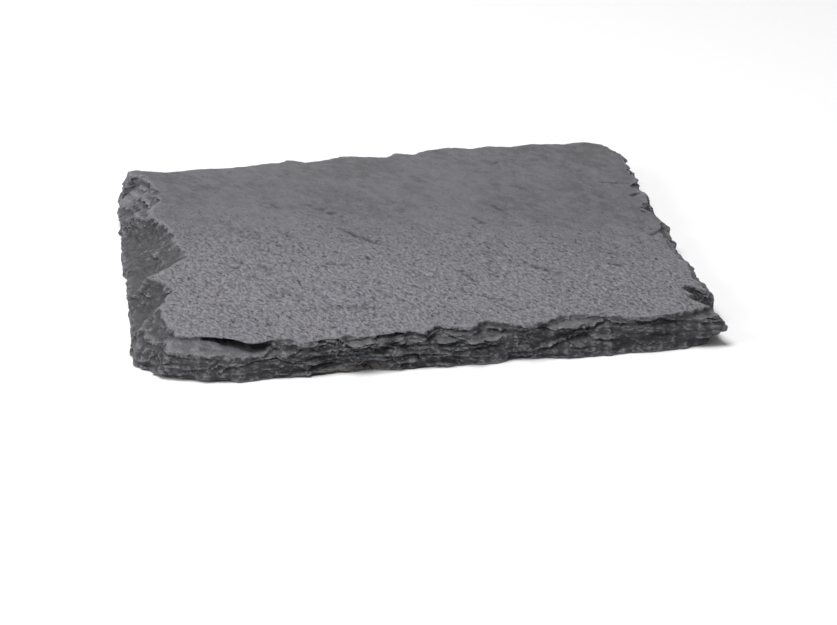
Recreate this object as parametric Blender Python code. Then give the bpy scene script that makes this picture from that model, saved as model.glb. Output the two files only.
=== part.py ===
"""A hand-dressed slab of riven slate, 100 mm square and 6.5 mm thick, as one solid piece of stone.

The stone is split along its cleavage, so it has two broad flat faces, and its four edges are
chopped back by hand, so they break layer by layer into ledges, hollows and flake scars.
It lies on its flatter face. The origin is in the middle of the underside, and the front is -Y.
"""

import math

import bmesh
import bpy
import numpy as np
from mathutils import Vector, noise

MM = 0.001

# Driving dimensions, in millimetres
SIDE = 100.0
HALF = SIDE / 2
THICKNESS = 6.5
LAYER_TOPS = (0.9, 1.7, 2.6, 3.5, 4.6, 5.5, THICKNESS)  # the heights where the thick layers part
LEDGE_RISE = 0.12  # a ledge's own fall from back to front
LAYER_WARP = 0.45  # how far the parting planes wander up and down
HEEL = 2.0  # the edge stands upright below this height and leans back above it

# The breaks of each layer's edge: length of their swells and their depth, in millimetres
SHARED_BITES = (9.0, 0.9)  # one bite takes two layers
BITES = (5.5, 0.8)
TEETH = (2.0, 0.5)
BROW_RAGGEDNESS = 0.4  # the brow's line is already given below, so it breaks less

# The relief of the two split faces, in millimetres
FACE_SWELL = (24.0, 0.25)
GRAIN_LENGTH = 14.0
GRAIN_WIDTH = 4.0
GRAIN_HEIGHT = 0.12
GRAIN_ANGLE = math.radians(-62.0)  # the way the grain runs, from +X
HOLLOW_LENGTH = 15.0
HOLLOW_DEPTH = 0.35
FLAT_SHARE = 0.3  # the middle of the underside has no hollows

# The mesh
CELL = 1.0
GROUND_SKIN = 0.03  # points this near the ground are on it
TRIANGLES = 9800

# How each side was chopped: place along the side, then how far in from the full square
# its foot and its brow (the arris of the upper face) lie
SIDES = {
    "front": (
        (-50, 4, 7), (-46.5, 3.5, 6.5), (-42, 2.5, 5.5), (-39, 0.5, 4.5), (-34, 0, 2.5),
        (-30.5, 0, 1), (-27.5, 0, 2.5), (-23, 0, 0.5), (-16.5, 0, 0), (-15.5, 0, 2.5),
        (-11, 0.5, 0.5), (-6, 0, 1), (-2, 0, 0), (-0.5, 0, 3.5), (3, 0.5, 2.5), (6.5, 0, 1),
        (8, 0, 3.5), (10.5, 0, 3.5), (13, 0.5, 2), (16, 0, 0.5), (20, 0, 1.5), (23, 0, 4),
        (27, 0, 4.5), (29, 0, 4), (33.5, 0, 0.5), (37, 0, 0.5), (43, 0.5, 1.5), (47, 2, 2.5),
        (50, 3.5, 3),
    ),
    "right": (
        (-50, 3.5, 3), (-49, 3, 4.5), (-46.5, 2, 6.5), (-44.5, 1.5, 5), (-43.5, 1, 2.5),
        (-38, 0, 1.5), (-34, 0, 2.5), (-30, 0, 3), (-25, 0, 2), (-21, 0.5, 3.5), (-14, 0, 3),
        (-8, 0, 3), (-2, 0, 2), (4, 0.5, 2.5), (7, 0, 4), (10, 0, 2.5), (18, 0, 2.5),
        (20.5, 0, 4), (23, 0, 2), (31, 0.5, 2), (38, 0, 1.5), (43, 1, 2.5), (46, 2, 3.5),
        (50, 3.5, 4.5),
    ),
    "back": (
        (-50, 1.5, 4.5), (-47, 0.5, 3), (-43, 0.5, 4.5), (-36, 0, 4), (-26, 0, 4), (-20, 0.5, 2.5),
        (-16.5, 0, 1.5), (-13, 0, 3.5), (-5.5, 0, 1), (-2, 0, 2.5), (3.5, 0.5, 3.5), (5, 0, 1),
        (9, 0, 3), (12, 0, 0.5), (17, 0, 0.5), (20.5, 0.5, 1.5), (23.5, 0, 0.5), (29, 0, 2.5),
        (33, 0, 1.5), (39, 0.5, 2), (44, 1, 2), (47, 2, 3), (50, 3.5, 4.5),
    ),
    "left": (
        (-50, 4, 7), (-46, 3, 6.5), (-43, 1.5, 6), (-39, 0, 5.5), (-34, 0, 5), (-30, 0, 6),
        (-27, 0, 7), (-24.5, 0, 8.5), (-21.5, 0, 8), (-19, 0, 6.5), (-15.5, 0, 4.5),
        (-14, 0, 3.5), (-12, 0, 6), (-9.5, 0, 8), (-6.5, 0, 10), (-5.5, 0, 11.5), (-1, 0.5, 11),
        (4.5, 0, 10), (12, 0, 9), (16.5, 0, 8), (20, 0, 7), (23, 0, 5.5), (27.5, 0, 6),
        (34, 0, 8), (40, 0, 9), (43, 0.5, 7), (46, 0.5, 6), (50, 1.5, 4.5),
    ),
}

# Flakes struck off the edges: side, place along it, half width, height, half height and depth.
# A negative depth is a ledge or a lump that stands proud.
FLAKES = (
    ("front", -36, 9, 5.2, 1.2, 2.6),
    ("front", -36, 11, 3.6, 1.0, -1.1),
    ("front", -46, 5, 3.0, 2.5, -1.0),
    ("front", -21, 5, 2.2, 1.6, 0.8),
    ("front", -12, 5, 5.0, 0.7, -1.6),
    ("front", -6, 6, 4.4, 0.6, 1.4),
    ("front", -12, 3, 0.0, 1.6, 1.2),
    ("front", 3, 6, 3.7, 0.8, -0.8),
    ("front", 3, 5, 4.8, 0.6, 0.9),
    ("front", 5, 3, 0.0, 1.5, 1.0),
    ("front", 13, 5, 2.8, 1.3, 0.9),
    ("front", 14, 3, 0.0, 1.4, 1.2),
    ("front", 25, 7, 4.9, 0.7, -1.2),
    ("front", 22, 6, 3.6, 0.7, 1.1),
    ("front", 28, 4, 2.0, 1.2, -0.6),
    ("front", 36, 9, 2.8, 2.2, 1.1),
    ("front", 37, 9, 5.2, 0.7, 1.0),
    ("front", 50, 7, 3.8, 2.4, -2.8),
    ("right", -50, 7, 3.8, 2.4, -2.8),
    ("right", -30, 7, 1.8, 1.8, 1.2),
    ("right", -14, 8, 3.2, 1.2, 1.3),
    ("right", 6, 9, 4.3, 1.2, 1.2),
    ("right", 22, 7, 1.4, 1.6, 1.0),
    ("right", 36, 8, 3.4, 1.4, 1.1),
    ("back", -38, 9, 2.6, 1.6, 1.3),
    ("back", -22, 8, 4.2, 1.2, -0.9),
    ("back", -8, 9, 1.6, 1.8, 1.2),
    ("back", 10, 8, 3.6, 1.2, 1.4),
    ("back", 26, 9, 2.0, 1.6, 1.1),
    ("back", 40, 7, 4.2, 1.1, 0.9),
    ("left", 38, 4, 5.4, 1.2, -1.6),
    ("left", 32, 3, 4.2, 1.4, 1.4),
    ("left", 26, 3, 4.8, 1.2, -1.5),
    ("left", 14, 6, 4.6, 1.6, 0.9),
    ("left", 1, 2, 1.0, 1.5, 0.8),
    ("left", -38, 8, 3.4, 1.6, -0.8),
)

# Scooped scars, where one shell-shaped flake came away and the layers hardly step:
# side, middle, half width, how smooth, and the power of the scoop's curve
SCARS = (
    ("left", 5, 20, 1.0, 0.7),
    ("left", -23, 9, 1.0, 0.7),
    ("left", -44, 9, 0.7, 1.0),
    ("front", -46, 9, 0.7, 1.0),
    ("front", 36, 10, 0.8, 1.2),
    ("right", -46, 3, 1.0, 0.8),
    ("right", 6, 7, 0.8, 0.8),
    ("back", -38, 8, 0.8, 0.8),
    ("back", 26, 9, 0.8, 1.0),
)
BEVEL_POWER = 1.3  # the lean elsewhere: over 1 it rounds over near the brow, under 1 it is scooped


def hump(distance, reach):
    """1 in the middle, falling to 0 at the reach."""
    return max(0.0, 1.0 - (distance / reach) ** 2)


def soft_noise(x, y, length, seed):
    """Smooth noise of about -1 to 1 whose swells are this many millimetres long."""
    return noise.noise(Vector((x / length, y / length, seed)))


def clamp(value, lowest, highest):
    return min(highest, max(lowest, value))


def side_and_place(x, y):
    """The side that the ray from the middle through (x, y) meets, and the place along it."""
    if abs(x) > abs(y):
        return ("right" if x > 0 else "left"), y / abs(x) * HALF
    return ("back" if y > 0 else "front"), x / abs(y) * HALF


def scar_at(side, place):
    """How smooth a scooped scar makes the wall here, and the power of its curve."""
    smooth, power = 0.0, BEVEL_POWER
    for scarred, middle, width, strength, scoop in SCARS:
        share = clamp(2.5 * hump(place - middle, width), 0.0, 1.0) * strength
        if scarred == side and share > smooth:
            smooth = share
            power = BEVEL_POWER + (scoop - BEVEL_POWER) * share
    return smooth, power


def bevel_inset(side, place, height, power):
    """The chopped profile, upright below the heel and leaning back to the brow above it."""
    rows = np.array(SIDES[side])
    foot = np.interp(place, rows[:, 0], rows[:, 1])
    brow = np.interp(place, rows[:, 0], rows[:, 2])
    lean = max(0.0, height - HEEL) / (THICKNESS - HEEL)
    return foot + (brow - foot) * lean ** power


def flake_inset(side, place, height):
    """What the struck flakes take away, less the ledges that stand proud."""
    return sum(
        depth * hump(place - middle, width) * hump(height - level, reach)
        for flaked, middle, width, level, reach, depth in FLAKES
        if flaked == side
    )


def ragged_inset(x, y, layer):
    """How raggedly one layer broke, with bites that two layers share and finer teeth."""
    breaks = (
        (SHARED_BITES, 2.0 + layer // 2 * 5.1),
        (BITES, 40.0 + layer * 7.3),
        (TEETH, 90.0 + layer * 3.1),
    )
    return sum(depth * soft_noise(x, y, length, seed) for (length, depth), seed in breaks)


def stepping_at(x, y, layer, smooth):
    """From 0, where the layers run together in one slope, to 1, where each stands upright."""
    stepping = 0.6 + 0.8 * soft_noise(x, y, 12.0, 60.0 + layer * 4.7)
    return clamp(stepping, 0.1, 0.95) * (1.0 - 0.9 * smooth)


def wall_inset(x, y, height, layer):
    """How far in from the full square the wall lies, at a place and a height in one layer."""
    side, place = side_and_place(x, y)
    smooth, power = scar_at(side, place)
    ragged = ragged_inset(x, y, layer) * (1.0 - 0.75 * smooth)
    if layer == len(LAYER_TOPS) - 1:
        middle_height = THICKNESS
        ragged *= BROW_RAGGEDNESS
    else:
        lowest = LAYER_TOPS[layer - 1] if layer else 0.0
        middle_height = (lowest + LAYER_TOPS[layer]) / 2
    eased = height + (middle_height - height) * stepping_at(x, y, layer, smooth)
    inset = bevel_inset(side, place, eased, power) + flake_inset(side, place, eased) + ragged
    return max(0.0, inset)


def face_relief(x, y):
    """The gentle swell of the split upper face, with a faint grain that runs across it."""
    length, height = FACE_SWELL
    along = x * math.cos(GRAIN_ANGLE) + y * math.sin(GRAIN_ANGLE)
    across = y * math.cos(GRAIN_ANGLE) - x * math.sin(GRAIN_ANGLE)
    grain = noise.noise(Vector((along / GRAIN_LENGTH, across / GRAIN_WIDTH, 4.2)))
    return height * soft_noise(x, y, length, 1.7) + GRAIN_HEIGHT * grain


def underside_hollow(x, y):
    """Shallow places where the underside split a little higher, none near the middle."""
    reach = max(abs(x), abs(y)) / HALF
    patch = clamp(6 * soft_noise(x, y, HOLLOW_LENGTH, 9.4) - 1.3, 0.0, 1.0)
    return HOLLOW_DEPTH * patch * clamp(5 * (reach - FLAT_SHARE), 0.0, 1.0)


def level_height(step):
    """The height of one ring of the wall: two rings to a layer, at its bottom and its top."""
    layer = step // 2
    if step % 2:
        return LAYER_TOPS[layer]
    return LAYER_TOPS[layer - 1] + LEDGE_RISE if layer else 0.0


def stacked_block():
    """A square block of fine cells, one band of faces for each layer's wall and each ledge."""
    mesh = bmesh.new()
    cells = round(SIDE / CELL)
    bmesh.ops.create_grid(mesh, x_segments=cells, y_segments=cells, size=HALF)
    level = mesh.verts.layers.int.new("level")
    skin = mesh.faces[:]
    bmesh.ops.reverse_faces(mesh, faces=skin)
    for step in range(1, 2 * len(LAYER_TOPS)):
        raised = bmesh.ops.extrude_face_region(mesh, geom=skin)
        if step > 1:
            bmesh.ops.delete(mesh, geom=skin, context="FACES_KEEP_BOUNDARY")
        skin = [item for item in raised["geom"] if isinstance(item, bmesh.types.BMFace)]
        for item in raised["geom"]:
            if isinstance(item, bmesh.types.BMVert):
                item[level] = step
                item.co.z = level_height(step)
    bmesh.ops.recalc_face_normals(mesh, faces=mesh.faces[:])
    return mesh, level


def dress(mesh, level):
    """Moves every point of the block to its place on the dressed stone."""
    top = 2 * len(LAYER_TOPS) - 1
    for vert in mesh.verts:
        step = vert[level]
        x, y, height = vert.co
        reach = max(abs(x), abs(y)) / HALF
        inset = wall_inset(x / reach, y / reach, height, step // 2) if reach else 0.0
        shrink = 1.0 - inset / HALF * reach ** 2
        x, y = x * shrink, y * shrink
        if step == top:
            z = height + face_relief(x, y)
        elif step == 0:
            z = underside_hollow(x, y)
        else:
            ledge = (step + 1) // 2
            z = height + LAYER_WARP * soft_noise(x, y, 16.0, 3.3 + ledge * 0.4)
        vert.co = Vector((x, y, z))


def make_slab(collection):
    mesh, level = stacked_block()
    dress(mesh, level)
    bmesh.ops.scale(mesh, vec=Vector((MM, MM, MM)), verts=mesh.verts[:])
    data = bpy.data.meshes.new("slate_slab")
    mesh.to_mesh(data)
    mesh.free()
    slab = bpy.data.objects.new("slate_slab", data)
    collection.objects.link(slab)
    return slab


def thin_out(slab):
    """Spends the triangles on the broken edges and few on the flat faces."""
    slab.data.calc_loop_triangles()
    decimate = slab.modifiers.new("Decimate", "DECIMATE")
    decimate.ratio = TRIANGLES / len(slab.data.loop_triangles)
    decimate.use_collapse_triangulate = True
    bpy.context.view_layer.objects.active = slab
    bpy.ops.object.modifier_apply(modifier=decimate.name)


def settle(slab):
    """Presses the underside flat on the ground and puts the origin below the middle of the slab."""
    corners = [Vector(corner) for corner in slab.bound_box]
    middle = sum(corners, Vector()) / len(corners)
    for vert in slab.data.vertices:
        vert.co.x -= middle.x
        vert.co.y -= middle.y
        if vert.co.z < GROUND_SKIN * MM:
            vert.co.z = 0.0


def slate_material():
    material = bpy.data.materials.new("slate")
    material.use_nodes = True
    shader = material.node_tree.nodes["Principled BSDF"]
    shader.inputs["Base Color"].default_value = (0.12, 0.12, 0.13, 1.0)
    shader.inputs["Roughness"].default_value = 0.6
    shader.inputs["Metallic"].default_value = 0.0
    return material


def main():
    for item in list(bpy.data.objects):
        bpy.data.objects.remove(item, do_unlink=True)
    collection = bpy.data.collections.new("Slate slab")
    bpy.context.scene.collection.children.link(collection)
    slab = make_slab(collection)
    thin_out(slab)
    settle(slab)
    slab.data.materials.append(slate_material())


main()
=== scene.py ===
import itertools
from math import cos, radians, sin

import bpy
import numpy as np
from mathutils import Matrix, Vector


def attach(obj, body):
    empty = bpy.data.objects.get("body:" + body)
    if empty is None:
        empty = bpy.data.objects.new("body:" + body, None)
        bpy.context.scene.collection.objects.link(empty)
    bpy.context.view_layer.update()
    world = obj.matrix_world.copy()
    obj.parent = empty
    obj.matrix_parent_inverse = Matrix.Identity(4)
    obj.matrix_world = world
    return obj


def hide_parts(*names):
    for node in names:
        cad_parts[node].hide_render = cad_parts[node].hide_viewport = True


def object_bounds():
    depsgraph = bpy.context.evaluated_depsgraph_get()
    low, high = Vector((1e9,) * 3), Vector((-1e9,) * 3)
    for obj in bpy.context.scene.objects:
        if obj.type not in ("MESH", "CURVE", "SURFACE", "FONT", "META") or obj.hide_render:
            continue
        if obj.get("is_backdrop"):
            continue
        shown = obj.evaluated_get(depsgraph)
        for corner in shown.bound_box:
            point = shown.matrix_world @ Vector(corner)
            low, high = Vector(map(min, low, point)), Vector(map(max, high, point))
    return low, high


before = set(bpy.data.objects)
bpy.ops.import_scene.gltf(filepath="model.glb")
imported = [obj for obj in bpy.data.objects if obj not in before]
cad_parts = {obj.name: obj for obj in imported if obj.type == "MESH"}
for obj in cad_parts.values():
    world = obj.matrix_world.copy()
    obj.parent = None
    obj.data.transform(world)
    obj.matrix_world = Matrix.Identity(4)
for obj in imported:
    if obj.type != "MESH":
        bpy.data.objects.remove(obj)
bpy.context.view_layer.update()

# ---- The blank ----
# One slab of slate, 100 mm square and 6.5 mm thick, split from a block along its cleavage.
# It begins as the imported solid, recut fine enough to carry the thin leaves that the stone
# breaks into. Sizes are in millimetres from here on.
MM = 0.001
THICKNESS = 6.5
HALF_SIDE = 50.0
LEAF = 0.21  # the recut grid, finer than the thinnest leaf
WELD = 0.001


def apply_modifier(piece, kind, **settings):
    modifier = piece.modifiers.new(kind.title(), kind)
    for name, value in settings.items():
        setattr(modifier, name, value)
    bpy.context.view_layer.objects.active = piece
    bpy.ops.object.modifier_apply(modifier=modifier.name)


def recut(piece, smoothing):
    """Gives the stone an even new surface, and smooths the grid's own steps off it."""
    apply_modifier(piece, "REMESH", mode="VOXEL", voxel_size=LEAF * MM)
    if smoothing:
        apply_modifier(piece, "SMOOTH", factor=0.5, iterations=smoothing)


bpy.ops.object.select_all(action="DESELECT")
slab = bpy.data.objects.new("riven_slate_slab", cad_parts["slate_slab"].data.copy())
bpy.context.scene.collection.objects.link(slab)
slab.data.materials.clear()
slab.select_set(True)
bpy.context.view_layer.objects.active = slab
bpy.ops.object.mode_set(mode="EDIT")
bpy.ops.mesh.select_all(action="SELECT")
bpy.ops.mesh.remove_doubles(threshold=WELD * MM)
bpy.ops.object.mode_set(mode="OBJECT")
recut(slab, smoothing=2)

# ---- The chips and the corner lump ----
# The slab is dressed square with a chopping iron, which takes bites with ragged outlines.
# Two bites went deeper than the rest, and on the rear left corner a lump is left standing.

# Middle in plan, half length, half width, turn in degrees, and depth, which is negative for the lump.
CHIPS = (
    (46.9, -40.2, 4.4, 1.5, -58, 3.0), (-46.9, 43.4, 2.6, 1.5, 5, 1.6),
    (-46.8, 46.8, 5.2, 3.6, 57, -2.2),
)
RAGGED = 0.12  # how far their outlines wander, as a share of their size
BITE_SLOPE, LUMP_SLOPE = 0.35, 0.8  # how much of the way in the depth takes to build up
CUT_FROM, CUT_FULL = 1.5, 3.8  # the heights between which a cut comes in, so the foot stays whole


def read_numbers(mesh, source, name):
    numbers = np.empty(len(mesh.vertices) * 3, np.float32)
    getattr(mesh, source).foreach_get(name, numbers)
    return numbers.reshape(-1, 3).astype(np.float64)


def read_points(mesh):
    return read_numbers(mesh, "vertices", "co") / MM


def write_points(mesh, place):
    mesh.vertices.foreach_set("co", (place * MM).astype(np.float32).ravel())
    mesh.update()


def scatter(cell, seed):
    """A repeatable number from 0 to 1 for each whole-numbered cell, from stirring its bits."""
    word = 0xFFFFFFFF
    stirred = cell[:, 0] * 73856093 ^ cell[:, 1] * 19349663 ^ cell[:, 2] * 83492791
    stirred = (stirred ^ seed * 26544357) & word
    for shift, factor in ((15, 2246822519), (13, 3266489917)):
        stirred = ((stirred ^ stirred >> shift) * factor) & word
    return (stirred ^ stirred >> 16) / word


def swell(place, length, seed):
    """Smooth swells from about -1 to 1, each about this long."""
    full_height = 1.9
    scaled = place / np.asarray(length, float)
    cell = np.floor(scaled).astype(np.int64)
    part = scaled - cell
    ease = part * part * part * (part * (part * 6 - 15) + 10)
    total = 0.0
    for corner in itertools.product((0, 1), repeat=3):
        weight = np.prod(np.where(corner, ease, 1 - ease), axis=1)
        lean = [scatter(cell + corner, seed + axis) * 2 - 1 for axis in (0, 31, 57)]
        total = total + weight * (np.stack(lean, 1) * (part - corner)).sum(1)
    return total * full_height


def ramp(value, low, high):
    """Eases from 0 at the low value to 1 at the high one."""
    share = np.clip((value - low) / (high - low), 0, 1)
    return share * share * (3 - 2 * share)


place = read_points(slab.data)
wander = RAGGED * swell(place, (1.2, 1.2, 9), 36)
for middle_x, middle_y, length, width, turn, depth in CHIPS:
    gap = place[:, :2] - (middle_x, middle_y)
    way = np.array((cos(radians(turn)), sin(radians(turn))))
    reach = np.hypot(gap @ way / length, gap @ (-way[1], way[0]) / width) + wander
    inside = ramp(1 - reach, 0, BITE_SLOPE if depth > 0 else LUMP_SLOPE)
    place[:, 2] -= depth * inside * ramp(place[:, 2], CUT_FROM, CUT_FULL)
place[:, 2] = np.minimum(place[:, 2], THICKNESS)

# ---- The ledge at the left of the front ----
# Here a smooth facet ends in a long ledge that slopes back to the rim. Behind the ledge a pack
# of leaves has broken out, which leaves a hollow that runs in under the rim.

# Place, height of the facet, height where the ledge ends, how much of the way back to the rim
# it goes, and how deep the hollow is.
LEDGE = (
    (-48.0, 5.3, 5.8, 0.95, 0.2), (-44.0, 4.9, 5.8, 0.95, 0.4), (-40.0, 4.6, 5.7, 0.9, 0.7),
    (-36.5, 4.4, 5.3, 0.8, 1.6), (-35.0, 4.2, 4.8, 0.55, 2.8), (-32.5, 3.95, 4.55, 0.5, 3.3),
    (-30.0, 3.8, 4.45, 0.5, 3.0), (-28.5, 3.7, 4.7, 0.5, 2.0), (-27.0, 3.6, 5.4, 0.9, 0.3),
)
LEDGE_LEFT, LEDGE_RIGHT = -46.5, -24.0
LEDGE_LOW, LEDGE_HIGH = 1.5, THICKNESS - 0.05
# Where the reshaping comes in: from the left end, from the right end and from the foot.
LEFT_FULL, RIGHT_END, RIGHT_FULL, FOOT_END, FOOT_FULL = -44, -26.5, -28.5, 1.8, 2.6
FRONT_BAND = -0.8 * HALF_SIDE  # the front edge is all outside this
CORNER_CUT = 3.0  # keeps the points on the front's side of the cut-off corner
FOOT_BAND = (1.6, 2.4)
RIM_BAND = (6.15, THICKNESS)
FACET_FOOT, FACET_LEAN = 2, 0.3  # where it starts to lean back, and how far for each millimetre up
FLOOR_EDGE = 0.25  # the height in which the hollow opens
ROOF, ROOF_EDGE = 5.95, 0.2  # where the hollow ends under the rim, and the height it takes to close
WAVER = 0.15  # how far the ledge's lines wander up and down
NEARBY = 0.8  # how far along the front its line is read together

at_ledge = np.flatnonzero(
    (place[:, 1] < FRONT_BAND) & (place[:, 1] < place[:, 0] + CORNER_CUT)
    & (place[:, 0] < LEDGE_RIGHT) & (place[:, 2] > LEDGE_LOW) & (place[:, 2] < LEDGE_HIGH)
)
spot = place[at_ledge]


def front_line(low, high):
    """How far out the front stands between two heights, at each point along it."""
    layer = spot[(spot[:, 2] > low) & (spot[:, 2] < high)]
    stations = np.arange(max(LEDGE_LEFT, layer[:, 0].min()), LEDGE_RIGHT)
    out = [layer[np.abs(layer[:, 0] - station) < NEARBY, 1].min() for station in stations]
    return np.interp(spot[:, 0], stations, out)


columns = np.array(LEDGE).T
lip, ledge_end, share, hollow = (np.interp(spot[:, 0], columns[0], row) for row in columns[1:])
foot, rim = front_line(*FOOT_BAND), front_line(*RIM_BAND)
height = spot[:, 2] + WAVER * swell(spot, (2.5, 2.5, 9), 35)
facet = foot + FACET_LEAN * (lip - FACET_FOOT)
ledge_back = facet + share * (rim - facet)
shape = foot + FACET_LEAN * np.clip(np.minimum(height, lip) - FACET_FOOT, 0, None)
shape += (ledge_back - facet) * np.clip((height - lip) / (ledge_end - lip), 0, 1)
shape += (rim + hollow - ledge_back) * np.clip((height - ledge_end) / FLOOR_EDGE, 0, 1)
shape -= hollow * np.clip((height - ROOF) / ROOF_EDGE, 0, 1)
full = ramp(spot[:, 0], LEDGE_LEFT, LEFT_FULL) * ramp(-spot[:, 0], -RIGHT_END, -RIGHT_FULL)
full = full * ramp(spot[:, 2], FOOT_END, FOOT_FULL)
place[at_ledge, 1] += full * (shape - spot[:, 1])
write_points(slab.data, place)
recut(slab, smoothing=0)

# ---- The lips of the front edge ----
# Along the front the stone has broken back pack by pack. Each pack of leaves ends in a lip that
# stands a little proud and is undercut, and all is pushed sideways, so the leaves stay level.

# From place and height to place and height, how proud it stands, how far it is undercut, and
# how far up and down that reaches.
LIPS = (
    (-48.0, 5.3, -39.0, 4.6, 0.3, 0.4, 0.5, 0.3), (-40.0, 4.6, -34.0, 4.2, 0.3, 0.4, 0.5, 0.3),
    (-35.0, 4.2, -29.0, 3.8, 0.3, 0.4, 0.5, 0.3), (-49.5, 6.6, -44.5, 5.8, 0.3, 0.6, 0.6, 0.5),
    (-49.5, 4.6, -45.0, 4.1, 0.3, 0.5, 0.6, 0.5), (-50.0, 3.7, -47.5, 1.1, 0.5, 0.4, 0.8, 0.8),
    (-37.0, 1.6, -33.0, 3.3, 0.3, 0.6, 0.6, 0.5), (-38.5, 2.8, -36.5, 4.3, 0.2, 0.4, 0.4, 0.5),
    (-30.0, 3.5, -28.0, 4.8, 0.2, 0.6, 0.4, 0.6), (-28.0, 4.8, -25.5, 5.0, 0.3, 0.5, 0.6, 0.6),
    (-21.0, 3.8, -16.0, 4.3, 0.3, 0.6, 0.8, 0.5), (-22.0, 1.7, -18.0, 2.2, 0.3, 0.9, 0.5, 0.5),
    (-19.5, 1.9, -15.0, 1.9, 0.3, 0.7, 0.5, 0.5), (-15.0, 5.0, -7.5, 4.1, 1.0, 0.7, 1.4, 0.7),
    (-10.8, 6.3, -1.8, 6.3, 0.0, 0.9, 0.2, 1.5), (-8.0, 4.7, -5.2, 5.0, 0.2, 0.5, 0.5, 0.5),
    (-7.3, 3.6, -4.8, 4.6, 0.6, 0.5, 0.6, 0.6), (-5.2, 2.7, -1.8, 2.6, 0.3, 0.5, 1.2, 0.4),
    (-8.6, 1.4, -7.5, 3.1, 0.0, 0.7, 0.2, 0.4), (-6.1, 0.8, -4.9, 2.2, 0.0, 0.7, 0.2, 0.4),
    (-2.2, 2.0, 0.6, 2.5, 0.2, 0.6, 0.4, 0.4), (-0.5, 4.5, 5.0, 4.2, 1.0, 0.8, 1.0, 0.6),
    (4.0, 4.0, 10.0, 4.0, 0.9, 0.8, 0.9, 0.6), (5.6, 3.0, 11.0, 3.3, 0.4, 0.8, 0.5, 0.4),
    (0.8, 3.5, 3.2, 3.0, 0.4, 0.6, 0.4, 0.4), (-0.8, 2.0, 3.8, 1.5, 0.0, 0.4, 0.2, 0.4),
    (0.0, 6.1, 6.0, 5.9, 0.5, 0.6, 0.5, 0.5), (6.0, 5.4, 13.0, 5.2, 0.6, 0.6, 0.6, 0.5),
    (13.5, 6.3, 19.8, 5.3, 0.8, 0.7, 0.8, 0.6), (18.0, 6.0, 24.2, 5.0, 0.5, 0.7, 0.6, 0.6),
    (23.5, 5.0, 28.0, 5.0, 0.6, 0.7, 0.7, 0.6), (26.3, 4.8, 30.7, 5.6, 0.6, 0.7, 0.9, 0.5),
    (30.4, 5.6, 33.2, 5.0, 0.4, 0.7, 0.8, 0.5), (34.0, 5.9, 38.0, 5.4, 0.1, 0.7, 0.3, 0.5),
    (37.6, 5.9, 42.7, 4.9, 0.2, 0.9, 0.4, 0.7), (42.2, 5.0, 47.0, 4.7, 0.3, 0.8, 0.5, 0.6),
    (20.2, 3.0, 25.8, 4.0, 0.4, 0.8, 0.6, 0.6), (17.6, 2.0, 20.8, 2.8, 0.3, 0.8, 0.5, 0.5),
    (26.5, 3.3, 32.0, 2.9, 0.9, 0.3, 1.0, 0.6), (24.7, 1.3, 27.7, 2.1, 0.0, 0.5, 0.2, 0.3),
    (27.4, 2.1, 31.8, 1.0, 0.0, 0.5, 0.2, 0.3), (36.7, 1.6, 38.8, 2.1, 0.1, 0.7, 0.3, 0.3),
)
LIP_FRAY = ((0.22, 1.3, 33), (0.1, 0.5, 34))  # how far a lip's line wanders, over what length, and seed
CORNER_FADE = (0.5, 3.0)  # the lips come in between these distances from the corner


def ease_along_edges(mesh, values, rounds):
    """Averages values over neighbouring points."""
    edges = np.empty(len(mesh.edges) * 2, np.int64)
    mesh.edges.foreach_get("vertices", edges)
    one, other = edges.reshape(-1, 2).T
    count = len(mesh.vertices)
    ends = np.bincount(one, minlength=count) + np.bincount(other, minlength=count)
    for _ in range(rounds):
        total = np.zeros_like(values)
        for axis in range(values.shape[1]):
            total[:, axis] = np.bincount(one, values[other, axis], count)
            total[:, axis] += np.bincount(other, values[one, axis], count)
        values = (values + total / ends[:, None]) / 2
    return values


def read_facing(mesh, rounds):
    """Which way each point faces, averaged over its neighbours."""
    facing = ease_along_edges(mesh, read_numbers(mesh, "vertex_normals", "vector"), rounds)
    return facing / np.linalg.norm(facing, axis=1)[:, None]


def wall_share(facing):
    """0 on the level split faces, 1 on the broken walls."""
    level, steep = 0.25, 0.6
    return ramp(np.hypot(facing[:, 0], facing[:, 1]), level, steep)


def squared_off(place):
    """Outwards in plan, so that each side moves straight out and only the corners turn."""
    squareness = 9
    way = np.sign(place[:, :2]) * np.abs(place[:, :2] / HALF_SIDE) ** squareness
    return way / np.linalg.norm(way, axis=1)[:, None]


def side_and_run(place):
    """The side that each point is on, and the place along that side."""
    endways = np.abs(place[:, 0]) > np.abs(place[:, 1])
    side = np.select(
        [endways & (place[:, 0] > 0), endways, place[:, 1] > 0], ["right", "left", "back"], "front"
    )
    run = np.where(endways, place[:, 1], place[:, 0]) * HALF_SIDE / np.abs(place[:, :2]).max(1)
    return side, run


place = read_points(slab.data)
side, run = side_and_run(place)
at_front = np.flatnonzero((side == "front") & (place[:, 1] < FRONT_BAND))
spot, run = place[at_front], run[at_front]
height = spot[:, 2]
fray = sum(reach * swell(spot, (length, length, length), seed) for reach, length, seed in LIP_FRAY)
off_corner = ramp(HALF_SIDE - np.abs(run), *CORNER_FADE)
raised, sunk = np.zeros(len(spot)), np.zeros(len(spot))
for start, low, end, high, proud, cut, over, under in LIPS:
    length = np.hypot(end - start, high - low)
    way = np.array((end - start, high - low)) / length
    gap = np.stack([run - start, height - low], 1)
    full = (1 - np.clip(2 * (gap @ way) / length - 1, -1, 1) ** 4) * off_corner
    above = gap @ (-way[1], way[0]) + fray
    raised = np.maximum(raised, full * proud * np.clip(1 - above / over, 0, 1) * (above >= 0))
    sunk = np.maximum(sunk, full * cut * np.clip(1 + above / under, 0, 1) * (above < 0))
depth = (raised - sunk) * wall_share(read_facing(slab.data, 6)[at_front])
place[at_front, :2] += squared_off(spot) * depth[:, None]
write_points(slab.data, place)
recut(slab, smoothing=1)

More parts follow.
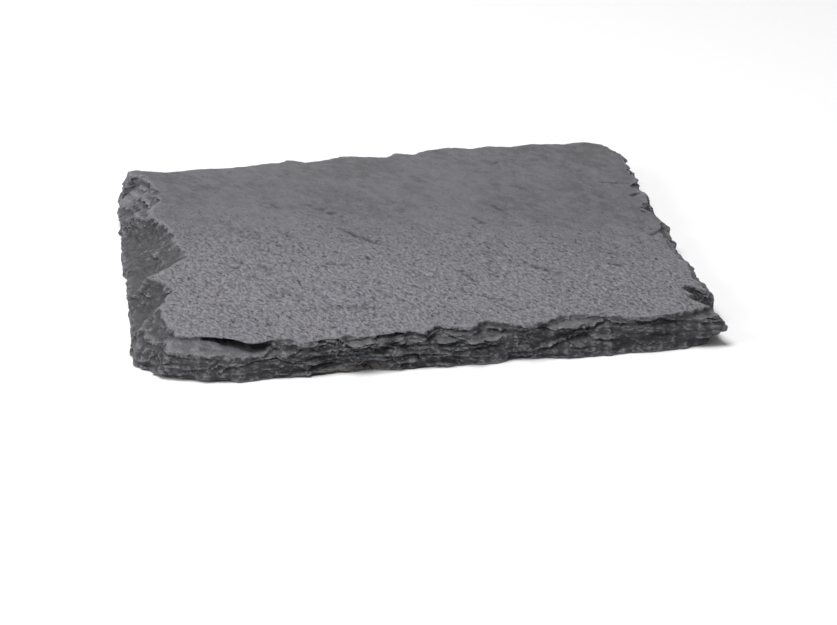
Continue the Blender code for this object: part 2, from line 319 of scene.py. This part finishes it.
# ---- The shells and leaves of the four edges ----
# The iron also flakes off small shells with sharp ridges between them, and between the shells
# single leaves step in and out. Where one clean shell came off, the wall is smooth instead.

# Side, middle and half width of a clean shell, and how clean it is.
CLEAN_SHELLS = (
    ("left", 5, 21, 0.9), ("left", -23, 9, 0.9), ("left", -43, 9, 0.75), ("left", 47, 6, 0.85),
    ("front", -41, 14, 0.85), ("front", 9, 5, 0.5), ("front", 37, 11, 0.8),
    ("right", -46, 4, 0.7), ("right", 6, 8, 0.7),
    ("back", -38, 9, 0.7), ("back", 26, 10, 0.7), ("back", -49, 7, 0.85),
)
# Size of the shells, how deep they go, and seed; the same for the leaves, with their thickness.
SHELLS = (((7.0, 7.0, 2.3), 1.00, 101), ((3.2, 3.2, 1.1), 0.45, 202), ((1.4, 1.4, 0.55), 0.15, 303))
LEAVES = ((0.85, 4.0, 0.20, 21), (0.45, 7.0, 0.12, 22))
OUTLINE = ((5.0, 0.40, 81), (1.6, 0.22, 83))  # how the outline wanders: length, reach, seed
# A shell's own form, in shares of its depth: a step, a tilt along the wall, a lean outwards and
# how much that differs, a scoop, and what is taken off so that the wall stays in its place.
STEP, TILT, LEAN, LEAN_RANGE, SCOOP, TAKEN_OFF = 0.35, 0.6, 0.45, 0.55, 0.5, 0.2
HACKLE, HACKLE_CHANGE, HACKLE_RANGE = 0.85, 0.7, (0.4, 1.3)
LEVEL_DRIFT, LEVEL_RIPPLE, LEAF_FRAY = 0.35, 0.1, 0.05
FRONT_SHARE, CLEAN_CUT = 0.75, 0.8  # how rough the front is, and how much a clean shell takes off
DEEPEST, PROUDEST = -2.0, 0.5  # how far a point of the wall may move
SPIKE = 0.25  # how far it may stand out of its neighbours


def shells(place, size, seed):
    """For each point: the way from its nearest shell's middle, and three numbers of that shell."""
    scaled = place / np.asarray(size, float)
    cell = np.floor(scaled).astype(np.int64)
    nearest = np.full(len(place), np.inf)
    away = np.zeros_like(place)
    home = cell.copy()
    for shift in itertools.product((-1, 0, 1), repeat=3):
        corner = cell + shift
        middle = np.stack([scatter(corner, seed + axis) for axis in (0, 11, 23)], 1)
        gap = scaled - corner - middle
        far = (gap * gap).sum(1)
        closer = far < nearest
        nearest[closer] = far[closer]
        away[closer] = gap[closer]
        home[closer] = corner[closer]
    own = np.stack([scatter(home, seed + axis) for axis in (41, 47, 59)], 1) * 2 - 1
    return away, own


place = read_points(slab.data)
upright = place * (1, 1, 0.25)  # the wandering changes four times more slowly up the wall
for length, reach, seed in OUTLINE:
    wander = [swell(upright, length, seed + axis) for axis in (0, 1)]
    place[:, :2] += reach * np.stack(wander, 1)
facing = read_facing(slab.data, 3)
broken = wall_share(facing)
at_edge = np.flatnonzero(broken > 0.01)
spot = place[at_edge]

on_side, run = side_and_run(spot)
height = spot[:, 2]
clean = np.zeros(len(spot))
for side, middle, width, share in CLEAN_SHELLS:
    hump = np.clip(2.5 * (1 - ((run - middle) / width) ** 2), 0, 1) * (on_side == side)
    clean = np.maximum(clean, share * hump)
# How hackly the wall is changes along it, from less than half to a third more.
hackle = np.clip(HACKLE + HACKLE_CHANGE * swell(spot, (13, 13, 6), 5), *HACKLE_RANGE)
hackle = hackle * (1 - CLEAN_CUT * clean)
hackle *= np.where(on_side == "front", FRONT_SHARE, 1.0)

# Shells overlap like shingles: each leans out towards its lower lip and is undercut there.
wander = np.stack([swell(spot, (2.4, 2.4, 1.3), seed) for seed in (7, 8, 9)], 1)
bent = spot + wander * (0.9, 0.9, 0.35)
depth = np.zeros(len(spot))
for size, reach, seed in SHELLS:
    away, own = shells(bent, size, seed)
    sideways = TILT * (own[:, 1] * away[:, 0] + own[:, 0] * away[:, 1])
    lean = -(LEAN + LEAN_RANGE * own[:, 2]) * away[:, 2]
    scoop = SCOOP * (away * away).sum(1)
    depth += reach * (STEP * own[:, 0] + sideways + lean + scoop - TAKEN_OFF)

# Single leaves step in and out along level planes that wander a little, also in clean shells.
level = height + LEVEL_DRIFT * swell(spot, (18, 18, 40), 15) + LEVEL_RIPPLE * swell(spot, (3, 3, 9), 16)
unlike = 99.7  # sets each leaf's swells far from those of the next
packs, leaves = (
    reach * swell(np.stack([spot[:, 0], spot[:, 1], np.floor(level / thick) * unlike], 1), length, seed)
    for thick, length, reach, seed in LEAVES
)
depth = (depth + packs) * hackle + leaves + LEAF_FRAY * swell(spot, (0.7, 0.7, 0.4), 31)
moved = np.zeros((len(place), 1))
moved[at_edge, 0] = np.clip(depth, DEEPEST, PROUDEST) * broken[at_edge]
evened = ease_along_edges(slab.data, moved, 8)
moved = np.minimum(moved, evened + SPIKE)[at_edge, 0]
place[at_edge, :2] += squared_off(spot) * moved[:, None]

# ---- The split faces ----
# Slate splits along the flat mica in it, which leaves a face that is nearly level and has a
# silky, finely pitted skin. Its grain runs aslant, and here and there a leaf ends in a low step.
GRAIN = radians(-62.0)
SWELL_HEIGHT = 0.08
LEAF_STEP, MORE_STEP, STEP_FROM = 0.02, 0.07, 0.86  # least step, what is added in places, its start
COARSE_PIT, FINE_PIT = 0.05, 0.04
PITTING, PITTING_CHANGE, PITTING_RANGE, FRONT_PITTING = 0.7, 0.9, (0.25, 1.3), 0.5
LEVEL_ENOUGH = (0.80, 0.97)  # a face counts as split where it turns up or down this much
along = place[:, 0] * cos(GRAIN) + place[:, 1] * sin(GRAIN)
across = place[:, 1] * cos(GRAIN) - place[:, 0] * sin(GRAIN)
unlike = 7.3  # sets the underside's swells apart from the upper face's
riven = np.stack([along, across, np.sign(place[:, 2] - THICKNESS / 2) * unlike], 1)
split = ramp(np.abs(facing[:, 2]), *LEVEL_ENOUGH)
upper = split * ramp(place[:, 2], 0.7 * THICKNESS, 0.85 * THICKNESS)

# Broad swells, then the leaves' steps and flats, then the pits.
rise = SWELL_HEIGHT * swell(riven, (20, 13, 5), 61)
leaves = 1.6 * swell(riven, (15, 6, 5), 62) + 0.7 * swell(riven, (3.5, 1.8, 5), 63)
leaves += 0.25 * swell(riven, (1.0, 0.8, 5), 64)
steps = LEAF_STEP + MORE_STEP * ramp(swell(riven, (11, 6, 5), 68), 0.15, 0.5)
rise += steps * (np.floor(leaves) + ramp(leaves % 1.0, STEP_FROM, 1.0) - leaves)
pitting = np.clip(PITTING + PITTING_CHANGE * swell(riven, (30, 30, 9), 65), *PITTING_RANGE)
pitting *= 1 + FRONT_PITTING * ramp(-place[:, 1], -10, 30)
pits = COARSE_PIT * swell(riven, (3.0, 1.3, 5), 66) + FINE_PIT * swell(riven, (1.5, 0.7, 5), 67)
rise += pitting * pits

# Short creases along which a leaf ends: both ends in plan, then depth.
CREASES = (
    (-34.5, 37.5, -31.5, 31.5, 0.2), (-24.5, 25.5, -19.5, 19.0, 0.3),
    (-15.0, 21.0, -9.0, 12.0, 0.4), (-10.5, 6.0, -4.0, -5.0, 0.5),
    (-9.0, 27.5, -6.5, 24.5, 0.2), (-21.5, 8.0, -18.0, 0.5, 0.15),
    (-31.5, -10.5, -30.0, -12.0, 0.3), (-26.0, -10.0, -24.5, -17.0, 0.3),
    (-15.0, -12.5, -11.0, -14.5, 0.3), (-18.0, 43.0, -16.0, 36.0, 0.15),
    (18.5, 13.5, 21.0, 9.5, 0.35), (14.5, 7.0, 16.0, 2.5, 0.3),
    (24.0, 24.5, 27.0, 20.0, 0.15), (29.0, 21.0, 32.5, 17.5, 0.15),
    (7.0, -18.5, 10.5, -27.5, 0.3), (10.0, -34.0, 13.5, -37.5, 0.35),
    (13.0, -38.5, 14.5, -43.0, 0.2), (20.5, -20.5, 25.5, -27.0, 0.3),
    (34.0, -22.5, 36.5, -24.5, 0.4), (41.0, 23.0, 46.5, 20.5, 0.5),
    (45.0, 13.5, 47.5, 14.5, 0.5), (45.5, 4.5, 47.5, 3.5, 0.5),
    (44.0, -9.5, 47.5, -6.0, 0.5), (-7.5, -11.0, -6.5, -12.0, 0.4),
    (-11.0, -34.5, -9.5, -37.0, 0.3), (-28.0, -39.0, -26.5, -42.0, 0.3),
    (-12.5, -34.0, -10.5, -38.5, 0.2), (-0.5, -20.0, 2.5, -25.0, 0.2),
)
CREASE_WIDTH = 0.42
CREASE_CUT = 0.8  # the share of its depth that is cut; the rest is painted as a dark line of shade


def creased(place, width):
    """How deep the creases are at each point, when each is this wide."""
    frayed = 0.4 * swell(place, (2.5, 2.5, 9), 71)
    broken_run = np.clip(0.75 + 0.9 * swell(place, (1.6, 1.6, 9), 73), 0, 1)
    total = np.zeros(len(place))
    for from_x, from_y, to_x, to_y, cut in CREASES:
        run = np.array((to_x - from_x, to_y - from_y))
        length = np.hypot(*run)
        way = run / length
        gap = place[:, :2] - (from_x, from_y)
        aside = gap @ (-way[1], way[0]) + frayed
        full = np.clip(1 - (2 * (gap @ way) / length - 1) ** 2, 0, 1) ** 0.5
        total += cut * full * broken_run * np.exp(-(aside / width) ** 2)
    return total


rise -= CREASE_CUT * creased(place, CREASE_WIDTH)
place[:, 2] += upper * rise
# The underside is only pitted upwards, so that the slab still lies flat.
UNDER_RAISED = 0.02
under = split * ramp(-facing[:, 2], *LEVEL_ENOUGH) * ramp(-place[:, 2], -1.5, -0.4)
place[:, 2] += under * np.maximum(0, rise + UNDER_RAISED)
place[:, 2] = np.maximum(place[:, 2], 0)
write_points(slab.data, place)

# The fine grid is thinned where the stone is flat and kept where it is broken.
TRIANGLES = 190_000
slab.data.calc_loop_triangles()
apply_modifier(slab, "DECIMATE", ratio=TRIANGLES / len(slab.data.loop_triangles))
place = read_points(slab.data)
place[:, 2] = np.maximum(place[:, 2], 0)
write_points(slab.data, place)
bpy.ops.object.shade_smooth_by_angle(angle=radians(30))

# ---- The slate ----
# Dark blue-grey slate: packed clay and mica, so the split faces have a soft silky shine at a
# low angle, and the fresh breaks are darker and dull. Struck ridges are bruised to pale powder.
# Shade is painted dark into the cracks between the leaves and under their overhangs, and light
# is painted pale onto the ledges that face up.


def linear(code):
    """An sRGB hex colour as linear numbers."""
    parts = [int(code[start:start + 2], 16) / 255 for start in (1, 3, 5)]
    return [part / 12.92 if part <= 0.04045 else ((part + 0.055) / 1.055) ** 2.4 for part in parts] + [1]


def add(tree, kind, output, settings=None, **links):
    """Adds a node with its settings, its sockets' values and what feeds them; gives one output.

    A socket goes by its name, or by its number where the node has several of one name: _0."""
    node = tree.nodes.new(kind)
    for name, value in (settings or {}).items():
        setattr(node, name, value)
    for name, value in links.items():
        socket = node.inputs[int(name[1:]) if name[1:].isdigit() else name.replace("_", " ")]
        if isinstance(value, bpy.types.NodeSocket):
            tree.links.new(value, socket)
        else:
            socket.default_value = value
    return node.outputs[output]


mesh = slab.data
place = read_points(mesh)
height = place[:, 2]
facing = read_numbers(mesh, "vertex_normals", "vector")


def standing_proud(rounds):
    """How far each point stands out of its neighbourhood."""
    return ((place - ease_along_edges(mesh, place, rounds)) * facing).sum(1)


# The walls, with the level ledges in them, and the band along their rims.
within = ramp(height, 0.2, 0.5) * ramp(-height, 0.3 - THICKNESS, 0.6 - THICKNESS)
wall = np.maximum(wall_share(facing), within)
wall = ease_along_edges(mesh, wall[:, None], 1)[:, 0]
rim = ramp(ease_along_edges(mesh, wall[:, None], 5)[:, 0], 0.05, 0.3)

# Ridges stand out of their neighbourhood, near or wide, and cracks lie back from it.
SHARP_RIDGE, BROAD_RIDGE, SHARP_CRACK, BROAD_CRACK = (0.015, 0.06), (0.08, 0.20), (0.015, 0.07), (0.15, 0.5)
near, wide = standing_proud(3), standing_proud(14)
bruised = np.maximum(ramp(near, *SHARP_RIDGE), ramp(wide, *BROAD_RIDGE))
# Painted shade: the cracks that lie back are coloured dark, where shade would fall.
painted_crevice_shade = np.maximum(ramp(-near, *SHARP_CRACK), 0.8 * ramp(-wide, *BROAD_CRACK))
# The ridges between the scars of the left side are rubbed pale.
SCARS_FROM, SCARS_FOOT, LOW_RIDGE = -34, 4.5, (0.03, 0.08)
at_left = place[:, 0] < SCARS_FROM
bruised = np.maximum(bruised, 0.8 * ramp(wide, *LOW_RIDGE) * at_left * (height > SCARS_FOOT))
# Painted shade: wall parts that face down are coloured dark, as the shade under an overhang.
painted_overhang_shade = ramp(-facing[:, 2], 0.15, 0.6) * within
# Painted light: ledges in the walls that face up are coloured pale, as if lit from above.
painted_ledge_light = ramp(facing[:, 2], 0.60, 1.0) * within
# The long scars of the left side are clean breaks, and mostly get none of this painted light.
painted_ledge_light *= 1 - 0.8 * at_left * ramp(place[:, 1], -44, -40) * ramp(-place[:, 1], -36, -33)

# Blows have bruised the rear left corner: the middle and the reach of each.
BLOWS = (((-46.5, 47.0, 6.0), 6.0), ((-47.5, 39.5, 5.0), 4.5))
rubbed = np.zeros(len(place))
for middle, reach in BLOWS:
    gap = (place - middle) * (1, 1, 0.5)
    rubbed = np.maximum(rubbed, ramp(-np.linalg.norm(gap, axis=1), -reach, -0.3 * reach))
# A smear of clay is dried on the front foot.
CLAY_MIDDLE, CLAY_HALF = -14.5, 7.5
clay = ramp(-np.abs(place[:, 0] - CLAY_MIDDLE), -CLAY_HALF, -4.0) * ramp(-height, -1.5, -0.7)
clay *= ramp(-place[:, 1], 44, 47)
# The face is roughest near the front left corner and silkier towards the back. The same mask
# paints light there: its pale grain and scales grow stronger, so the face is painted lighter
# towards the front left.
pitted_and_painted_lighter = ramp(-place[:, 1] - 0.3 * place[:, 0], -40, 40) * ramp(facing[:, 2], 0, 0.5)
# The creases' shade is painted as dark lines a little wider than their cuts, on the upper face alone.
painted_crease_shade = 3.0 * creased(place, 0.6) * ramp(height, 0.8 * THICKNESS, 0.9 * THICKNESS)

CARRIED = {
    "broken": wall, "bruised": np.maximum(bruised * rim, 0.7 * rubbed * wall),
    "painted_crevice_shade": np.maximum(painted_crevice_shade, painted_overhang_shade), "painted_ledge_light": painted_ledge_light, "clay": clay, "pitted_and_painted_lighter": pitted_and_painted_lighter,
    "creased": painted_crease_shade,
}
for name, values in CARRIED.items():
    layer = mesh.attributes.new(name, "FLOAT", "POINT")
    layer.data.foreach_set("value", np.clip(values, 0, 1).astype(np.float32))

slate = bpy.data.materials.new("riven_slate")
slate.use_nodes = True
tree = slate.node_tree
shader = tree.nodes["Principled BSDF"]
shader.inputs["IOR"].default_value = 1.52  # as glass; the clay and mica in it are 1.5 to 1.6

# Each mark on the stone is a number at each place: first the marks that the mesh carries.
marks = {
    name: add(tree, "ShaderNodeAttribute", "Fac", {"attribute_name": name}) for name in CARRIED
}

# Then the patterns: length, width and height of one mark, its turn, detail and roughness. The
# flakes of mica in slate are under 0.1 mm, too fine to show, so grain, flecks and grit are drawn
# 0.5 to 1.3 mm long. Clouds, mottle, scales, chips, crust and the packs of leaves are life size.
spot = add(tree, "ShaderNodeTexCoord", "Object")
for name, length, width, thick, turn, detail, roughness in (
    ("clouds", 20, 10, 9, GRAIN, 3, 0.55),
    ("mottle", 3.4, 1.7, 1.5, GRAIN, 3, 0.6),
    ("grain", 1.15, 0.48, 0.5, GRAIN - radians(18), 4, 0.75),
    ("flecks", 1.3, 0.6, 0.6, GRAIN - radians(8), 5, 0.75),
    ("scales", 3.4, 1.7, 2.0, GRAIN, 4, 0.6),
    ("leaf_lines", 3.5, 3.5, 0.5, 0, 4, 0.65),
    ("chips", 1.7, 1.7, 0.8, 0, 5, 0.65),
    ("grit", 0.5, 0.5, 0.4, 0, 3, 0.6),
    ("crust", 0.9, 0.9, 0.6, 0, 4, 0.7),
):
    measured = add(
        tree, "ShaderNodeMapping", 0, {"vector_type": "TEXTURE"}, Vector=spot,
        Rotation=(0, 0, turn), Scale=(length * MM, width * MM, thick * MM),
    )
    marks[name] = add(
        tree, "ShaderNodeTexNoise", "Fac", Vector=measured, Scale=1.0, Detail=detail,
        Roughness=roughness,
    )

# Thin scales of mica end in low steps: the swells are cut into levels, each with its own shade.
LEVELS = 26
TIMES = {"operation": "MULTIPLY"}
levels = add(tree, "ShaderNodeMath", 0, TIMES, _0=marks["scales"], _1=LEVELS)
level = add(tree, "ShaderNodeMath", 0, {"operation": "FLOOR"}, _0=levels)
marks["past_level"] = add(tree, "ShaderNodeMath", 0, {"operation": "FRACT"}, _0=levels)
marks["shade"] = add(tree, "ShaderNodeTexWhiteNoise", "Value", {"noise_dimensions": "1D"}, W=level)

# Marks drawn out of others: from low to high in the first, they go from bottom to top.
for name, source, low, high, bottom, top in (
    ("cloudy", "clouds", 0.40, 0.60, 0.0, 1.0),
    ("mottled", "mottle", 0.40, 0.62, 0.0, 0.7),
    ("scaly", "pitted_and_painted_lighter", 0.0, 1.0, 0.15, 0.6),
    ("pale_grain", "grain", 0.39, 0.63, 0.0, 1.0),
    ("grainy", "pitted_and_painted_lighter", 0.1, 1.0, 0.1, 0.9),
    # The dark flecks are partly the stone's own dark pits and partly painted shade of those pits.
    ("pit_spots", "flecks", 0.56, 0.62, 0.0, 1.0),
    ("flecked", "pitted_and_painted_lighter", 0.0, 0.7, 0.3, 1.0),
    ("frayed", "flecks", 0.35, 0.6, 0.3, 0.9),
    ("leaf_ends", "leaf_lines", 0.42, 0.58, 0.0, 1.0),
    ("chipped", "chips", 0.48, 0.66, 0.0, 0.4),
    ("gritty", "grit", 0.45, 0.75, 0.0, 0.5),
    ("powder", "grit", 0.35, 0.6, 0.25, 0.85),
    ("crusty", "crust", 0.38, 0.56, 0.0, 1.0),
    ("silky", "grain", 0.3, 0.7, 0.46, 0.60),
    ("step", "past_level", 0.7, 1.0, 0.0, 1.0),
    ("stepped_strength", "pitted_and_painted_lighter", 0.0, 1.0, 0.3, 1.0),
    ("grain_strength", "pitted_and_painted_lighter", 0.0, 1.0, 0.35, 1.0),
):
    marks[name] = add(
        tree, "ShaderNodeMapRange", "Result", {"interpolation_type": "SMOOTHSTEP"},
        Value=marks[source], From_Min=low, From_Max=high, To_Min=bottom, To_Max=top,
    )

# And marks that show only where another does, or only in part.
for name, first, second in (
    ("light_scales", "shade", "scaly"), ("light_grain", "pale_grain", "grainy"),
    ("dark_pits_and_painted_pit_shade", "pit_spots", "flecked"), ("painted_crease_shadow", "creased", "frayed"),
    ("painted_ledge_highlight", "painted_ledge_light", 0.7), ("painted_shade_in_crevices", "painted_crevice_shade", 0.75),
    ("pale_bruise", "bruised", "powder"), ("dried_clay", "clay", "crusty"),
    ("leaf_strength", "broken", 0.8), ("chip_strength", "broken", 0.7),
):
    marks[name] = add(
        tree, "ShaderNodeMath", 0, TIMES, _0=marks[first], _1=marks.get(second, second),
    )

# Each part of the stone: its ground colour, then the coats over it and where each shows.
coloured = {}
for part, ground, coats in (
    # The face: its pale grain and scales are painted stronger to the front left as painted light, its dark
    # flecks are partly painted pit shade, and the creases carry painted shade.
    ("face", "#313036", (
        ("cloudy", "#444348"), ("mottled", "#525157"), ("light_scales", "#6d6c72"),
        ("light_grain", "#929197"), ("dark_pits_and_painted_pit_shade", "#1e1c21"), ("painted_crease_shadow", "#121115"),
    )),
    # The walls: leaf ends, chips and grit, and painted light on the ledges that face up.
    ("wall", "#212124", (
        ("leaf_ends", "#36363a"), ("chipped", "#4a4a4e"), ("gritty", "#525256"),
        ("painted_ledge_highlight", "#68686c"),
    )),
    # The whole stone: the walls over the face, then painted shade in the cracks and under overhangs, pale
    # bruises and dried clay.
    ("stone", "face", (
        ("broken", "wall"), ("painted_shade_in_crevices", "#101012"), ("pale_bruise", "#808086"),
        ("dried_clay", "#79756d"),
    )),
):
    coat = coloured[ground] if ground in coloured else linear(ground)
    for share, over in coats:
        over = coloured[over] if over in coloured else linear(over)
        coat = add(tree, "ShaderNodeMix", 2, {"data_type": "RGBA"}, _0=marks[share], _6=coat, _7=over)
    coloured[part] = coat
tree.links.new(coloured["stone"], shader.inputs["Base Color"])

# The skin is silky, and duller in its dark pits, whose shade is also painted into their colour.
PIT_DULLNESS = 0.15
dull = add(
    tree, "ShaderNodeMath", 0, {"operation": "MULTIPLY_ADD"},
    _0=marks["dark_pits_and_painted_pit_shade"], _1=PIT_DULLNESS, _2=marks["silky"],
)
tree.links.new(dull, shader.inputs["Roughness"])

# The relief too fine for the mesh: what stands out, how strongly, and by how many millimetres.
marks["scale_steps"] = add(tree, "ShaderNodeMath", 0, {"operation": "ADD"}, _0=level, _1=marks["step"])
relief = {}
for name, strength, depth in (
    ("scale_steps", "stepped_strength", 0.05), ("grain", "grain_strength", 0.3),
    ("leaf_lines", "leaf_strength", 0.14), ("chips", "chip_strength", 0.4), ("grit", 0.5, 0.05),
):
    relief["Normal"] = add(
        tree, "ShaderNodeBump", 0, Strength=marks.get(strength, strength), Distance=depth * MM,
        Height=marks[name], **relief,
    )
tree.links.new(relief["Normal"], shader.inputs["Normal"])
mesh.materials.append(slate)

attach(slab, "root")
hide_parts("slate_slab")

# ---- The table and the light ----
# A plain pale floor of matt paper in a soft studio. One lamp hangs behind, so that the split
# face takes a low shine, one above, and one at the left for the scars of that side.
FLOOR_SIDE = 6.0
bpy.ops.mesh.primitive_plane_add(size=FLOOR_SIDE)
floor = bpy.context.object
floor.name = "floor"
paper = bpy.data.materials.new("white_paper")
paper.use_nodes = True
paper.node_tree.nodes["Principled BSDF"].inputs["Base Color"].default_value = linear("#efefef")
paper.node_tree.nodes["Principled BSDF"].inputs["Roughness"].default_value = 0.9
floor.data.materials.append(paper)
floor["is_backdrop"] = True


def lamp(name, middle, side, watts):
    """A square soft box that faces the slab; middle and side in metres."""
    data = bpy.data.lights.new(name, "AREA")
    data.size = side
    data.energy = watts
    box = bpy.data.objects.new(name, data)
    box.location = middle
    box.rotation_euler = Vector(middle).to_track_quat("Z", "Y").to_euler()
    bpy.context.scene.collection.objects.link(box)


lamp("soft_box_behind", (0.0, 0.75, 0.42), 0.45, 1.15)
lamp("soft_box_above", (-0.15, -0.08, 0.70), 0.4, 5.35)
lamp("soft_box_left", (-0.70, -0.20, 0.40), 0.4, 2.4)

world = bpy.data.worlds.new("studio")
world.use_nodes = True
world.node_tree.nodes["Background"].inputs["Color"].default_value = linear("#f4f4f4")
world.node_tree.nodes["Background"].inputs["Strength"].default_value = 0.2
bpy.context.scene.world = world
bpy.context.scene.view_settings.view_transform = "Standard"

# ---- The camera ----
# It stands in front and a little to the left, on a long lens, and looks down at the front edge.
AIM = Vector((0.3, -23.3, 0.0)) * MM
FAR = 534 * MM
SENSOR, LENS, NEAREST = 36, 131.2, 0.01
rise, turn, roll = radians(20.7), radians(-6.7), radians(-1.6)
back = Vector((sin(turn) * cos(rise), -cos(turn) * cos(rise), sin(rise)))
right = Vector((cos(turn), sin(turn), 0))
up = back.cross(right)
across_view = cos(roll) * right + sin(roll) * up
up_view = cos(roll) * up - sin(roll) * right
camera = bpy.data.objects.new("camera", bpy.data.cameras.new("camera"))
camera.data.sensor_width = SENSOR
camera.data.lens = LENS
camera.data.clip_start = NEAREST
camera.matrix_world = Matrix((across_view, up_view, back)).transposed().to_4x4()
camera.location = AIM + back * FAR
bpy.context.scene.collection.objects.link(camera)
bpy.context.scene.camera = camera

low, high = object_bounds()
